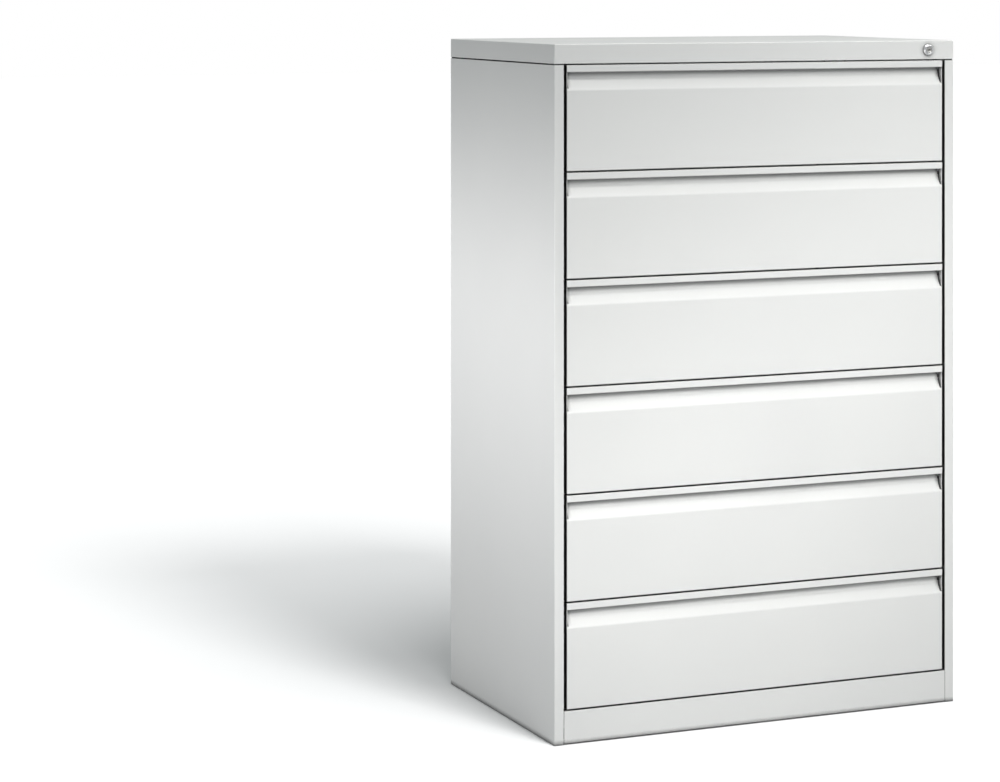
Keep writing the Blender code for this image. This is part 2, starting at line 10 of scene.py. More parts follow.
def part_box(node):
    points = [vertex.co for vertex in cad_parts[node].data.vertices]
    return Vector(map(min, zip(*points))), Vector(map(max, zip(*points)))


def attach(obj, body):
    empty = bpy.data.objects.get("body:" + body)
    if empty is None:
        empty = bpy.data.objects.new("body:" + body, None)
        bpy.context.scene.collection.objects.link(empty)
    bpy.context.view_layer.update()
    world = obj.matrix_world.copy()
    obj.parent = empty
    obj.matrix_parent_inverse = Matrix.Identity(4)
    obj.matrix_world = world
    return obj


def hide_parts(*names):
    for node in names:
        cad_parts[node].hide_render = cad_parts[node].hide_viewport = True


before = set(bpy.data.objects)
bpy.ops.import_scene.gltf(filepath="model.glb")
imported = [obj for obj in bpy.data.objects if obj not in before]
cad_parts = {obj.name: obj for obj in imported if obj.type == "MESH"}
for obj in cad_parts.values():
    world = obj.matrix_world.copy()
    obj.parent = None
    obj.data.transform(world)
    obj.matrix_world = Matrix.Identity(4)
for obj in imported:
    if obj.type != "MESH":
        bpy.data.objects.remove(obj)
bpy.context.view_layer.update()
scene = bpy.context.scene

# ----------------------------------------------------------------------------
# Sizes, most read from the CAD nodes, a few given
# ----------------------------------------------------------------------------
cover_lo, cover_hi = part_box("top_cover")
HALF = cover_hi.x
FRONT, BACK = cover_lo.y, cover_hi.y
COVER_BOTTOM, HEIGHT = cover_lo.z, cover_hi.z
side_lo, side_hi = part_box("side_panel_left")
TAB = 0.0100                               # the cover's locating tab stands this far above the side panels
CARCASS_TOP = side_hi.z - TAB
plinth_lo, plinth_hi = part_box("plinth_panel")
tray_lo, tray_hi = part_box("base_tray")
POST = 0.020
GAUGE = 0.0010
N = 6
FEET = ("front_left", "front_right", "rear_left", "rear_right")
outer_lo, outer_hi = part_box("slide_outer_right_1")
SLIDE_FACE = outer_hi.x
BOX_HALF = SLIDE_FACE - 0.0130
housing_lo, housing_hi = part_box("lock_housing")
LOCK = Vector(((housing_lo.x + housing_hi.x) / 2, FRONT, (housing_lo.z + housing_hi.z) / 2))


# ----------------------------------------------------------------------------
# Node materials
# ----------------------------------------------------------------------------
class Tree:
    """A small wrapper that keeps node graphs readable."""

    def __init__(self, name):
        self.mat = bpy.data.materials.new(name)
        self.mat.use_nodes = True
        self.nt = self.mat.node_tree
        self.bsdf = self.nt.nodes["Principled BSDF"]
        self.coord = self.nt.nodes.new("ShaderNodeTexCoord").outputs["Object"]

    def link(self, a, b):
        self.nt.links.new(a, b)

    def mapping(self, scale=(1, 1, 1), rotation=(0, 0, 0), location=(0, 0, 0)):
        n = self.nt.nodes.new("ShaderNodeMapping")
        n.inputs["Scale"].default_value = scale
        n.inputs["Rotation"].default_value = rotation
        n.inputs["Location"].default_value = location
        self.link(self.coord, n.inputs["Vector"])
        return n.outputs["Vector"]

    def noise(self, scale, detail=2.0, rough=0.5, vector=None, distortion=0.0):
        n = self.nt.nodes.new("ShaderNodeTexNoise")
        n.inputs["Scale"].default_value = scale
        n.inputs["Detail"].default_value = detail
        n.inputs["Roughness"].default_value = rough
        n.inputs["Distortion"].default_value = distortion
        self.link(vector or self.coord, n.inputs["Vector"])
        return n.outputs["Fac"]

    def voronoi(self, scale, feature="F1", vector=None, out="Distance"):
        n = self.nt.nodes.new("ShaderNodeTexVoronoi")
        n.feature = feature
        n.inputs["Scale"].default_value = scale
        self.link(vector or self.coord, n.inputs["Vector"])
        return n.outputs[out]

    def span(self, value, lo, hi, a=0.0, b=1.0):
        n = self.nt.nodes.new("ShaderNodeMapRange")
        for key, v in (("From Min", lo), ("From Max", hi), ("To Min", a), ("To Max", b)):
            n.inputs[key].default_value = v
        self.link(value, n.inputs["Value"])
        return n.outputs["Result"]

    def math(self, op, a, b=0.0):
        n = self.nt.nodes.new("ShaderNodeMath")
        n.operation = op
        for i, v in enumerate((a, b)):
            if isinstance(v, (int, float)):
                n.inputs[i].default_value = v
            else:
                self.link(v, n.inputs[i])
        return n.outputs[0]

    def mix(self, fac, a, b, blend="MIX"):
        n = self.nt.nodes.new("ShaderNodeMix")
        n.data_type = "RGBA"
        n.blend_type = blend
        if isinstance(fac, (int, float)):
            n.inputs["Factor"].default_value = fac
        else:
            self.link(fac, n.inputs["Factor"])
        for key, v in (("A", a), ("B", b)):
            sock = [s for s in n.inputs if s.name == key and s.type == "RGBA"][0]
            if isinstance(v, tuple):
                sock.default_value = (*v, 1.0)
            else:
                self.link(v, sock)
        return [s for s in n.outputs if s.type == "RGBA"][0]

    def bump(self, height, strength, distance, normal=None):
        n = self.nt.nodes.new("ShaderNodeBump")
        n.inputs["Strength"].default_value = strength
        n.inputs["Distance"].default_value = distance
        self.link(height, n.inputs["Height"])
        if normal is not None:
            self.link(normal, n.inputs["Normal"])
        return n.outputs["Normal"]

    def painted_crevice_shade(self, distance, lo, hi, floor):
        """Painted shade from an ambient occlusion reading: 1 on open surfaces, falling to floor in joints, narrow gaps
        and recesses.
        """
        n = self.nt.nodes.new("ShaderNodeAmbientOcclusion")
        n.samples = 6
        n.inputs["Distance"].default_value = distance
        return self.span(n.outputs["AO"], lo, hi, floor, 1.0)

    def done(self, colour, rough, metallic=0.0, normal=None, **extra):
        for key, v in (("Base Color", colour), ("Roughness", rough), ("Metallic", metallic)):
            s = self.bsdf.inputs[key]
            if isinstance(v, tuple):
                s.default_value = (*v, 1.0)
            elif isinstance(v, (int, float)):
                s.default_value = v
            else:
                self.link(v, s)
        if normal is not None:
            self.link(normal, self.bsdf.inputs["Normal"])
        for key, v in extra.items():
            self.bsdf.inputs[key.replace("_", " ")].default_value = v
        return self.mat


def powder_coat(name, colour, rough, peel=1.0, dust=0.0):
    """Light grey polyester powder coat: orange peel, slow tone drift, handling sheen, painted shade in gaps and
    recesses.
    """
    t = Tree(name)
    slow = t.noise(1.7, 3.0, 0.55)
    grain = t.noise(1500.0, 2.0, 0.6)
    cloud = t.noise(9.0, 4.0, 0.6)
    tone = t.span(slow, 0.3, 0.7, 0.0, 1.0)
    light = tuple(min(1.0, c * 1.018) for c in colour)
    dark = tuple(c * s for c, s in zip(colour, (0.978, 0.980, 0.984)))
    base = t.mix(tone, dark, light)
    speck = t.span(grain, 0.30, 0.70, 0.0, 1.0)
    base = t.mix(t.math("MULTIPLY", speck, 0.055), base, tuple(c * 0.80 for c in colour))
    if dust:
        base = t.mix(t.span(cloud, 0.45, 0.8, 0.0, dust), base, (0.50, 0.47, 0.42))
    # painted shade: joints, narrow gaps, the grip recesses and the lower edge beside the floor are darkened to near
    # black by ambient occlusion
    painted_gap_shade = t.painted_crevice_shade(0.0120, 0.48, 0.96, 0.0)
    base = t.mix(painted_gap_shade, (0.004, 0.004, 0.004), base)
    smudge = t.span(cloud, 0.35, 0.75, -0.025, 0.045)
    r = t.math("ADD", t.math("ADD", smudge, rough), t.span(grain, 0.3, 0.7, -0.02, 0.02))
    wave = t.bump(t.noise(3.0, 1.0, 0.4), 0.02 * peel, 0.004)
    peel_a = t.bump(t.noise(420.0, 2.0, 0.45), 0.10 * peel, 0.0004, wave)
    fine = t.bump(grain, 0.05 * peel, 0.00015, peel_a)
    return t.done(base, r, 0.0, fine, IOR=1.48)


def zinc_plate(name, tint=(0.60, 0.615, 0.64), rough=0.30, grain_axis=1, spangle=0.0, relief=True):
    """Bright zinc plate on drawn steel: drawing lines along one axis, passivation tint, scuffs."""
    t = Tree(name)
    stretch = [260.0, 260.0, 260.0]
    stretch[grain_axis] = 5.0
    lines = t.noise(1.0, 4.0, 0.65, t.mapping(tuple(stretch)))
    cloud = t.noise(28.0, 3.0, 0.6)
    base = t.mix(t.span(cloud, 0.35, 0.7), tint, tuple(c * s for c, s in zip(tint, (0.92, 0.94, 0.93))))
    base = t.mix(t.span(lines, 0.35, 0.7, 0.0, 0.35), base, tuple(min(1, c * 1.18) for c in tint))
    if spangle:
        cell = t.voronoi(120.0, out="Color")
        base = t.mix(spangle, base, cell, "SOFT_LIGHT")
    scuff = t.span(t.noise(1.0, 5.0, 0.7, t.mapping((40.0, 40.0, 40.0))), 0.52, 0.72, 0.0, 0.16)
    r = t.math("ADD", t.math("ADD", t.span(lines, 0.3, 0.7, -0.05, 0.08), rough), scuff)
    if not relief:
        return t.done(base, r, 1.0)
    n = t.bump(lines, 0.10, 0.0002)
    n = t.bump(t.noise(900.0, 2.0), 0.05, 0.0001, n)
    return t.done(base, r, 1.0, n)


def chrome_plate(name, dull=0.0, relief=True):
    """Polished chrome with a trace of handling and very fine scratches."""
    t = Tree(name)
    cloud = t.noise(160.0, 3.0, 0.6)
    scratch = t.noise(1.0, 3.0, 0.7, t.mapping((900.0, 60.0, 2600.0), (0.2, 0.1, 0.5)))
    base = t.mix(t.span(cloud, 0.3, 0.7), (0.80, 0.80, 0.815), (0.74, 0.745, 0.76))
    r = t.math("ADD", t.span(cloud, 0.35, 0.75, 0.07 + dull, 0.17 + dull), t.span(scratch, 0.55, 0.75, 0.0, 0.10))
    return t.done(base, r, 1.0, t.bump(scratch, 0.04, 0.00005)) if relief else t.done(base, r, 1.0)


def turned_nickel(name, centre):
    """Satin nickel face with turning rings about the lock's axis."""
    t = Tree(name)
    v = t.mapping((1, 0.0, 1), location=(-centre.x, 0.0, -centre.z))
    ln = t.nt.nodes.new("ShaderNodeVectorMath")
    ln.operation = "LENGTH"
    t.link(v, ln.inputs[0])
    radius = ln.outputs["Value"]
    ring = t.math("SINE", t.math("MULTIPLY", radius, 2 * math.pi / 0.00022))
    cloud = t.noise(300.0, 3.0, 0.6)
    base = t.mix(t.span(ring, -1, 1, 0.0, 0.6), (0.70, 0.69, 0.67), (0.60, 0.59, 0.575))
    base = t.mix(t.span(cloud, 0.4, 0.7, 0.0, 0.25), base, (0.50, 0.49, 0.47))
    r = t.math("ADD", t.span(cloud, 0.3, 0.7, 0.24, 0.36), t.span(ring, -1, 1, -0.03, 0.03))
    return t.done(base, r, 1.0, t.bump(ring, 0.12, 0.00005))


def moulded_plastic(name, colour=(0.022, 0.022, 0.024), rough=0.48, relief=True):
    """Moulded plastic with an eroded texture and a scuffed underside."""
    t = Tree(name)
    grain = t.noise(1300.0, 3.0, 0.6)
    scuff = t.span(t.noise(90.0, 5.0, 0.7), 0.52, 0.75, 0.0, 0.6)
    base = t.mix(t.span(grain, 0.35, 0.7, 0.0, 0.5), colour, tuple(c * 1.7 + 0.004 for c in colour))
    base = t.mix(t.math("MULTIPLY", scuff, 0.5), base, tuple(c * 2.2 + 0.03 for c in colour))
    r = t.math("ADD", t.span(grain, 0.3, 0.7, -0.07, 0.09), t.math("ADD", rough, t.math("MULTIPLY", scuff, 0.15)))
    return t.done(base, r, 0.0, t.bump(grain, 0.25, 0.0002)) if relief else t.done(base, r, 0.0)


COAT = (0.715, 0.722, 0.716)
M_BODY = powder_coat("powder_coat_body", COAT, 0.33)
M_FRONT = powder_coat("powder_coat_fronts", (0.722, 0.728, 0.722), 0.32)
M_BOX = powder_coat("powder_coat_boxes", (0.665, 0.672, 0.668), 0.46, 0.8, 0.05)
M_TRAY = powder_coat("powder_coat_base", (0.60, 0.605, 0.60), 0.50, 0.9, 0.12)
M_SLIDE = zinc_plate("slide_zinc", (0.63, 0.645, 0.67), 0.27, 1, relief=False)
M_FRAME = zinc_plate("frame_galvanised", (0.53, 0.55, 0.57), 0.38, 2, 0.35)
M_RAIL = zinc_plate("rail_galvanised", (0.53, 0.55, 0.57), 0.38, 0, 0.35)
M_ZINC = zinc_plate("fastener_zinc", (0.60, 0.60, 0.585), 0.30, 2, relief=False)
M_BALL = chrome_plate("polished_balls", relief=False)
M_CHROME = chrome_plate("lock_chrome", 0.20)
M_PLUG = turned_nickel("lock_nickel", LOCK)
M_PLASTIC = moulded_plastic("black_plastic")
M_BUMPER = moulded_plastic("grey_bumper", (0.09, 0.09, 0.095), 0.6, relief=False)


# ----------------------------------------------------------------------------
# Mesh helpers
# ----------------------------------------------------------------------------
def near(a, b, eps=1e-5):
    return abs(a - b) < eps


def temp(bm, name="work"):
    me = bpy.data.meshes.new(name)
    bm.to_mesh(me)
    bm.free()
    ob = bpy.data.objects.new(name, me)
    scene.collection.objects.link(ob)
    return ob


def settle(ob, extra=()):
    """The object's mesh with its modifiers applied; the helper objects are removed."""
    bpy.context.view_layer.update()
    dg = bpy.context.evaluated_depsgraph_get()
    me = bpy.data.meshes.new_from_object(ob.evaluated_get(dg), depsgraph=dg)
    for o in (ob, *extra):
        old = o.data
        bpy.data.objects.remove(o)
        if old.users == 0:
            bpy.data.meshes.remove(old)
    return me


def folded(path, sweep):
    """Open surface: a path swept along a vector."""
    bm = bmesh.new()
    verts = [bm.verts.new(p) for p in path]
    edges = [bm.edges.new((a, b)) for a, b in zip(verts, verts[1:])]
    made = bmesh.ops.extrude_edge_only(bm, edges=edges)
    moved = [g for g in made["geom"] if isinstance(g, bmesh.types.BMVert)]
    bmesh.ops.translate(bm, verts=moved, vec=sweep)
    return bm


def pull(bm, edges, vec):
    made = bmesh.ops.extrude_edge_only(bm, edges=edges)
    verts = [g for g in made["geom"] if isinstance(g, bmesh.types.BMVert)]
    bmesh.ops.translate(bm, verts=verts, vec=vec)
    return [g for g in made["geom"] if isinstance(g, bmesh.types.BMEdge)
            and all(v in verts for v in g.verts)]


def edges_where(bm, test):
    return [e for e in bm.edges if all(test(v.co) for v in e.verts)]


def face_out(bm, test, want):
    """All faces agree, and a chosen face points as wanted."""
    bmesh.ops.recalc_face_normals(bm, faces=bm.faces)
    bm.normal_update()
    chosen = next(f for f in bm.faces if test(f.calc_center_median()))
    if chosen.normal.dot(Vector(want)) < 0:
        bmesh.ops.reverse_faces(bm, faces=bm.faces)
    bm.normal_update()


def block(lo, hi, bm=None):
    bm = bm or bmesh.new()
    lo, hi = Vector(lo), Vector(hi)
    m = Matrix.Translation((lo + hi) / 2) @ Matrix.Diagonal((*(hi - lo), 1.0))
    bmesh.ops.create_cube(bm, size=1.0, matrix=m)
    return bm


def bar(centre, axis, radius, length, segments=32, turn=0.0, bm=None, radius2=None):
    bm = bm or bmesh.new()
    q = Vector((0, 0, 1)).rotation_difference(Vector(axis)).to_matrix().to_4x4()
    m = Matrix.Translation(centre) @ q @ Matrix.Rotation(turn, 4, "Z")
    bmesh.ops.create_cone(bm, cap_ends=True, segments=segments, radius1=radius,
                          radius2=radius if radius2 is None else radius2, depth=length, matrix=m)
    return bm


def mod(ob, kind, **values):
    m = ob.modifiers.new(kind.lower(), kind)
    for k, v in values.items():
        setattr(m, k, v)
    return m


def cut(ob, other, operation="DIFFERENCE"):
    return mod(ob, "BOOLEAN", operation=operation, object=other, solver="EXACT")


def rounded(ob, width, segments=2, angle=35.0):
    return mod(ob, "BEVEL", width=width, segments=segments, limit_method="ANGLE",
               angle_limit=math.radians(angle), use_clamp_overlap=False, harden_normals=False)


def sheet(bm, thickness, folds, segments=5, rim=0.00022, cuts=(), joins=()):
    """A folded sheet: fold lines get their own bend widths, then thickness, then dulled edges.
    folds is a list of (test of a vertex, bend width); the first that fits both ends is used."""
    layer = bm.edges.layers.float.new("bevel_weight_edge")
    widest = max(w for _, w in folds)
    for e in bm.edges:
        if len(e.link_faces) == 2 and e.calc_face_angle(0.0) > math.radians(8):
            for test, w in folds:
                if all(test(v.co) for v in e.verts):
                    e[layer] = w / widest
                    break
    ob = temp(bm)
    mod(ob, "BEVEL", width=widest, segments=segments, limit_method="WEIGHT",
        offset_type="OFFSET", use_clamp_overlap=True)
    mod(ob, "SOLIDIFY", thickness=thickness, offset=-1.0, use_even_offset=True,
        use_quality_normals=True)
    if rim:
        rounded(ob, rim, 1, 40.0)
    for c in joins:
        cut(ob, c, "UNION")
    for c in cuts:
        cut(ob, c)
    return settle(ob, (*cuts, *joins))


def always(c):
    return True


def piece(name, mesh, body, look, replaces=(), move=None, flip=False, smooth=32.0, share=False):
    """A finished piece in the row frame, with its own copy of the mesh."""
    me = mesh if share else mesh.copy()
    me.name = name
    if flip:
        me.transform(Matrix.Diagonal((-1, 1, 1, 1)))
        me.flip_normals()
    if move is not None:
        me.transform(Matrix.Translation(move))
    me.materials.clear()
    me.materials.append(look)
    me.shade_smooth()
    me.set_sharp_from_angle(angle=math.radians(smooth))
    ob = bpy.data.objects.new(name, me)
    scene.collection.objects.link(ob)
    mod(ob, "WEIGHTED_NORMAL", mode="FACE_AREA", weight=50, keep_sharp=True)
    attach(ob, body)
    if replaces:
        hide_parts(*replaces)
    return ob


def merged(parts):
    """One mesh from several (mesh, matrix) pairs."""
    bm = bmesh.new()
    for me, m in parts:
        start = len(bm.verts)
        bm.from_mesh(me)
        bm.verts.ensure_lookup_table()
        bmesh.ops.transform(bm, matrix=m, verts=bm.verts[start:])
    out = bpy.data.meshes.new("merged")
    bm.to_mesh(out)
    bm.free()
    return out


def lathe(profile, segments=64, axis="Z", centre=(0, 0, 0)):
    """A closed profile of (radius, height) turned about an axis; radius 0 ends on the axis."""
    bm = bmesh.new()
    rings = []
    for r, h in profile:
        if r < 1e-9:
            rings.append([bm.verts.new((0, 0, h))])
        else:
            rings.append([bm.verts.new((r * math.cos(2 * math.pi * i / segments),
                                        r * math.sin(2 * math.pi * i / segments), h))
                          for i in range(segments)])
    closed = profile[0][0] > 1e-9 and profile[-1][0] > 1e-9
    pairs = list(zip(rings, rings[1:])) + ([(rings[-1], rings[0])] if closed else [])
    for a, b in pairs:
        for i in range(segments):
            j = (i + 1) % segments
            if len(a) == 1 and len(b) == 1:
                break
            if len(a) == 1:
                bm.faces.new((a[0], b[i], b[j]))
            elif len(b) == 1:
                bm.faces.new((a[i], b[0], a[j]))
            else:
                bm.faces.new((a[i], b[i], b[j], a[j]))
    if axis == "-Y":          # heights run towards -Y, out of the front
        bmesh.ops.rotate(bm, verts=bm.verts, matrix=Matrix.Rotation(math.radians(90), 3, "X"))
    elif axis == "+Y":
        bmesh.ops.rotate(bm, verts=bm.verts, matrix=Matrix.Rotation(math.radians(-90), 3, "X"))
    elif axis == "+X":
        bmesh.ops.rotate(bm, verts=bm.verts, matrix=Matrix.Rotation(math.radians(90), 3, "Y"))
    bmesh.ops.translate(bm, verts=bm.verts, vec=centre)
    bmesh.ops.recalc_face_normals(bm, faces=bm.faces)
    return bm


def bead_body(x0, x1, y, width, depth, z, top=None):
    """A long bar with round ends and an elliptic section, for pressed stiffening beads. top flattens its upper side."""
    r = width / 2
    bm = bmesh.new()
    bmesh.ops.create_uvsphere(bm, u_segments=24, v_segments=14, radius=r)
    for v in bm.verts:
        v.co.z *= depth / r
        if top is not None:
            v.co.z = min(v.co.z, top)
        if v.co.x > 1e-7:
            v.co.x += x1 - r
        elif v.co.x < -1e-7:
            v.co.x += x0 + r
        else:
            v.co.x = (x0 + x1) / 2
    bmesh.ops.translate(bm, verts=bm.verts, vec=(0, y, z))
    return temp(bm)


def bead(x0, x1, y, z_top, thickness, width=0.024, depth=0.0036):
    """The joining body and the cutter of one bead pressed down into a sheet."""
    return (bead_body(x0, x1, y, width, depth, z_top - thickness, thickness / 2),
            bead_body(x0, x1, y, width - 2 * thickness, depth, z_top))


# ----------------------------------------------------------------------------
# Outer panels
# ----------------------------------------------------------------------------
def side_panel():
    path = [(HALF - 0.016, BACK, 0), (HALF, BACK, 0), (HALF, FRONT, 0),
            (HALF - POST, FRONT, 0), (HALF - POST, FRONT + 0.0175, 0)]
    bm = folded(path, (0, 0, CARCASS_TOP))
    face_out(bm, lambda c: near(c.x, HALF), (1, 0, 0))
    tab = temp(block((HALF - POST + 0.0003, FRONT + 0.0025, CARCASS_TOP - 0.0140),
                     (HALF - 0.0014, FRONT + 0.0037, CARCASS_TOP + TAB)))
    return sheet(bm, GAUGE, [(lambda c: near(c.x, HALF - POST), 0.0013), (always, 0.0018)], 6, joins=(tab,))


panel = side_panel()
piece("side_panel_right_skin", panel, "root", M_BODY, ["side_panel_right"])
piece("side_panel_left_skin", panel, "root", M_BODY, ["side_panel_left"], flip=True)

# back panel: two raised fields with sloped borders, as one closed sheet
lo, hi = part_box("back_panel")


def stops(lo, hi, fields, slope):
    """Grid lines across a sheet: its edges and both feet of every sloped border."""
    out = [lo]
    for a, b in fields:
        out += [a, a + slope, b - slope, b]
    return out + [hi]


field_x = [(lo.x + 0.060, hi.x - 0.060)]
z_mid = (lo.z + hi.z) / 2
field_z = [(lo.z + 0.065, z_mid - 0.030), (z_mid + 0.030, hi.z - 0.065)]
xs, zs = stops(lo.x, hi.x, field_x, 0.009), stops(lo.z, hi.z, field_z, 0.009)


def raised(x, z):
    for a, b in field_x:
        for c, d in field_z:
            if a + 0.0089 < x < b - 0.0089 and c + 0.0089 < z < d - 0.0089:
                return 0.0012
    return 0.0


bm = bmesh.new()
outer = [[bm.verts.new((x, hi.y + raised(x, z), z)) for z in zs] for x in xs]
for i in range(len(xs) - 1):
    for k in range(len(zs) - 1):
        bm.faces.new((outer[i][k], outer[i][k + 1], outer[i + 1][k + 1], outer[i + 1][k]))
made = bmesh.ops.extrude_face_region(bm, geom=list(bm.faces))
bmesh.ops.translate(bm, verts=[g for g in made["geom"] if isinstance(g, bmesh.types.BMVert)],
                    vec=(0, -(hi.y - lo.y), 0))
bmesh.ops.recalc_face_normals(bm, faces=bm.faces)
ob = temp(bm)
rounded(ob, 0.0002, 1, 60.0)
piece("back_panel_sheet", settle(ob), "root", M_BODY, ["back_panel"], smooth=40)

# top cover: cap with a skirt on all sides, open below, cut for the lock
bm = block((-HALF, FRONT, COVER_BOTTOM), (HALF, BACK, HEIGHT))
bm.normal_update()
bmesh.ops.delete(bm, geom=[f for f in bm.faces if f.normal.z < -0.5], context="FACES_ONLY")
hole = temp(bar(LOCK, (0, 1, 0), 0.0094, 0.02, 64))
piece("top_cover_shell", sheet(bm, GAUGE, [(always, 0.0020)], 6, cuts=(hole,)), "root", M_BODY,
      ["top_cover"])

# plinth between the posts, with a top and a bottom return
bm = folded([(plinth_lo.x, plinth_hi.y, plinth_lo.z), (plinth_lo.x, FRONT, plinth_lo.z),
             (plinth_lo.x, FRONT, plinth_hi.z), (plinth_lo.x, plinth_hi.y, plinth_hi.z)],
            (plinth_hi.x - plinth_lo.x, 0, 0))
face_out(bm, lambda c: near(c.y, FRONT), (0, -1, 0))
piece("plinth_skirt", sheet(bm, GAUGE, [(always, 0.0018)], 6), "root", M_BODY,
      ["plinth_panel"])

# base tray with pressed beads and four foot holes
bm = block(tray_lo, tray_hi)
bm.normal_update()
bmesh.ops.delete(bm, geom=[f for f in bm.faces if f.normal.z < -0.5], context="FACES_ONLY")
joins, cuts = [], []
feet = {}
for label in FEET:
    a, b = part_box("levelling_foot_" + label)
    feet[label] = Vector(((a.x + b.x) / 2, (a.y + b.y) / 2, 0))
    cuts.append(temp(bar((feet[label].x, feet[label].y, tray_hi.z), (0, 0, 1), 0.0046, 0.02, 32)))
for y in (-0.13, 0.0, 0.13):
    a, b = bead(-0.36, 0.36, y, tray_hi.z, 0.0012)
    joins.append(a)
    cuts.append(b)
tray = sheet(bm, 0.0012, [(always, 0.0020)], 5, cuts=tuple(cuts), joins=tuple(joins))
piece("base_tray_sheet", tray, "root", M_TRAY, ["base_tray"])


# ----------------------------------------------------------------------------
# Inner frame: uprights with punched slots, top rails
# ----------------------------------------------------------------------------
def upright(label):
    lo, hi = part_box("upright_" + label)
    s = -1 if hi.x < 0 else 1
    web, edge = (hi.x, lo.x) if s < 0 else (lo.x, hi.x)
    path = [(edge, lo.y, lo.z), (web, lo.y, lo.z), (web, hi.y, lo.z), (edge, hi.y, lo.z)]
    bm = folded(path, (0, 0, hi.z - lo.z))
    face_out(bm, lambda c: near(c.x, web), (-s, 0, 0))
    slots = bmesh.new()
    yc = (lo.y + hi.y) / 2
    z = lo.z + 0.030
    while z < hi.z - 0.030:
        for dy in (-0.0095, 0.0095):
            ring = bmesh.ops.create_cone(slots, cap_ends=True, segments=16, radius1=0.0021, radius2=0.0021,
                                         depth=0.012, matrix=Matrix.Translation((web, yc + dy, z))
                                         @ Matrix.Rotation(math.radians(90), 4, "Y"))
            for v in ring["verts"]:
                v.co.z += 0.0045 if v.co.z > z + 1e-7 else (-0.0045 if v.co.z < z - 1e-7 else 0.0)
        z += 0.025
    cutter = temp(slots)
    me = sheet(bm, 0.0015, [(always, 0.0022)], 4, cuts=(cutter,))
    piece("upright_%s_channel" % label, me, "root", M_FRAME, ["upright_" + label])


for label in ("front_left", "front_right", "rear_left", "rear_right"):
    upright(label)


def top_rail(node, name):
    lo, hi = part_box(node)
    bm = folded([(lo.x, lo.y, lo.z), (lo.x, lo.y, hi.z), (lo.x, hi.y, hi.z), (lo.x, hi.y, lo.z)],
                (hi.x - lo.x, 0, 0))
    face_out(bm, lambda c: near(c.z, hi.z), (0, 0, 1))
    piece(name, sheet(bm, 0.0012, [(always, 0.0022)], 4), "root", M_RAIL, [node])


top_rail("top_front_rail", "top_front_channel")
top_rail("top_rear_rail", "top_rear_channel")


# ----------------------------------------------------------------------------
# Fasteners
# ----------------------------------------------------------------------------
def pan_head(radius, height, recess=True, segments=32):
    """Screw head with a domed top and a cross recess. It points along +Z and sits on z = 0."""
    k = radius
    profile = [(0.0, 0.0), (k * 0.97, 0.0), (k, height * 0.12), (k * 0.99, height * 0.35)]
    for i in range(1, 7):
        a = math.radians(90 * i / 6)
        profile.append((k * 0.99 * math.cos(a * 0.98) if i < 6 else 0.0,
                        height * (0.35 + 0.65 * math.sin(a))))
    ob = temp(lathe(profile, segments))
    cutters = []
    if recess:
        for turn in (0, 90):
            bm = bmesh.new()
            m = Matrix.Translation((0, 0, height)) @ Matrix.Rotation(math.radians(turn), 4, "Z")
            made = bmesh.ops.create_cube(bm, size=1.0, matrix=m @ Matrix.Diagonal(
                (radius * 1.05, radius * 0.26, height * 1.1, 1.0)))
            for v in made["verts"]:
                if v.co.z < height:
                    v.co.x *= 0.55
                    v.co.y *= 0.55
            cutters.append(temp(bm))
        bm = bmesh.new()
        bmesh.ops.create_cone(bm, cap_ends=True, segments=12, radius1=radius * 0.16, radius2=radius * 0.26,
                              depth=height * 1.15, matrix=Matrix.Translation((0, 0, height)))
        cutters.append(temp(bm))
        for c in cutters:
            cut(ob, c)
    return settle(ob, cutters)


def facing(direction, at):
    """Turns +Z to a direction and moves to a point."""
    q = Vector((0, 0, 1)).rotation_difference(Vector(direction)).to_matrix().to_4x4()
    return Matrix.Translation(at) @ q


SCREW = pan_head(0.0034, 0.0014)
FIX = pan_head(0.0042, 0.0024)
RIVET = pan_head(0.0034, 0.0011, recess=False)

# rivets that hold the back panel in the rear flanges
spots = [(s * (HALF - 0.0085), BACK, 0.060 + k * 0.198) for s in (-1, 1) for k in range(7)]
piece("back_panel_rivets", merged([(RIVET, facing((0, 1, 0), p)) for p in spots]), "root", M_ZINC)

# ----------------------------------------------------------------------------
# Levelling feet
# ----------------------------------------------------------------------------
def threaded_rod(radius, depth, pitch, z0, z1, segments=24):
    """A rod with a real helical thread: the radius follows height and angle together."""
    bm = bmesh.new()
    step = pitch / 4
    rows = int(round((z1 - z0) / step))
    rings = []
    for k in range(rows + 1):
        z = z0 + (z1 - z0) * k / rows
        fade = min(1.0, min(k, rows - k) / 4.0)
        ring = []
        for i in range(segments):
            phase = (z / pitch - i / segments) % 1.0
            ridge = 1.0 - abs(2.0 * phase - 1.0)
            r = radius - depth * (1.0 - fade * ridge)
            a = 2 * math.pi * i / segments
            ring.append(bm.verts.new((r * math.cos(a), r * math.sin(a), z)))
        rings.append(ring)
    for a, b in zip(rings, rings[1:]):
        for i in range(segments):
            j = (i + 1) % segments
            bm.faces.new((a[i], a[j], b[j], b[i]))
    bm.faces.new(list(reversed(rings[0])))
    bm.faces.new(rings[-1])
    bmesh.ops.recalc_face_normals(bm, faces=bm.faces)
    me = bpy.data.meshes.new("rod")
    bm.to_mesh(me)
    bm.free()
    return me


